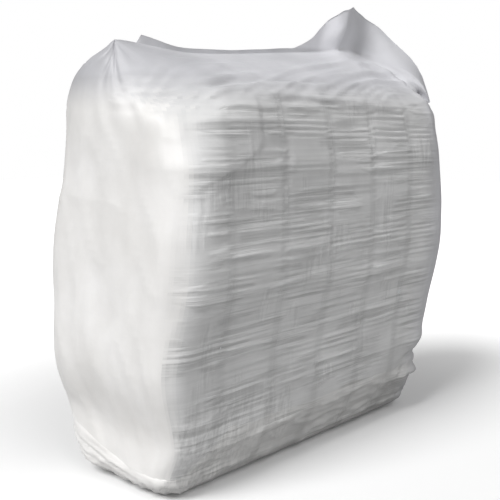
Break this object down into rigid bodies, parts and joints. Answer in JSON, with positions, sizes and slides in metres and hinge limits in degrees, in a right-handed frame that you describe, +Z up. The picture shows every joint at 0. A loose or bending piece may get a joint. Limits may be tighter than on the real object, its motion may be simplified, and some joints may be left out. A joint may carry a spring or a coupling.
{
  "type": "wrapped bale",
  "caption": "Upright bale of pressed white cloth, strapped and wrapped in a base bag and a film hood whose welded top seam ends in a loose ear.",
  "frame": {"origin": "middle of the footprint, on the floor", "axes": "+Z up, +X along the long side towards the end with the loose ear, +Y out of a wide face"},
  "size_m": [1.016, 0.476, 1.078],
  "materials": {
    "pressed_cloth": "matt white knitted and woven cloth, pressed in layers",
    "cover_board": "matt",
    "strapping": "milky polyester strap",
    "seal_steel": "zinc-coated strip, crimped",
    "base_film": "cloudy film, creased",
    "hood_film": "cloudy film, creased",
    "welded_film": "heat-sealed double film",
    "ear_film": "doubled film"
  },
  "bodies": {
    "bale": {"pressed_layer_01": "pressed_cloth", "pressed_layer_02": "pressed_cloth", "pressed_layer_03": "pressed_cloth", "pressed_layer_04": "pressed_cloth", "pressed_layer_05": "pressed_cloth", "pressed_layer_06": "pressed_cloth", "pressed_layer_07": "pressed_cloth", "pressed_layer_08": "pressed_cloth", "pressed_layer_09": "pressed_cloth", "pressed_layer_10": "pressed_cloth", "pressed_layer_11": "pressed_cloth", "pressed_layer_12": "pressed_cloth", "bottom_cover_sheet": "cover_board", "top_cover_sheet": "cover_board", "baling_strap_1": "strapping", "baling_strap_2": "strapping", "baling_strap_3": "strapping", "baling_strap_4": "strapping", "baling_strap_5": "strapping", "strap_seal_1": "seal_steel", "strap_seal_2": "seal_steel", "strap_seal_3": "seal_steel", "strap_seal_4": "seal_steel", "strap_seal_5": "seal_steel", "base_film_bag": "base_film", "film_hood": "hood_film", "top_weld_seam": "welded_film"},
    "ear": {"hood_ear": "ear_film"}
  },
  "joints": [
    {"name": "ear_fold", "type": "hinge", "parent": "bale", "child": "ear", "pos_m": [0.292, 0, 0.95768], "axis": [0.9992, 0, 0.04], "range_deg": [-70, 70]}
  ]
}
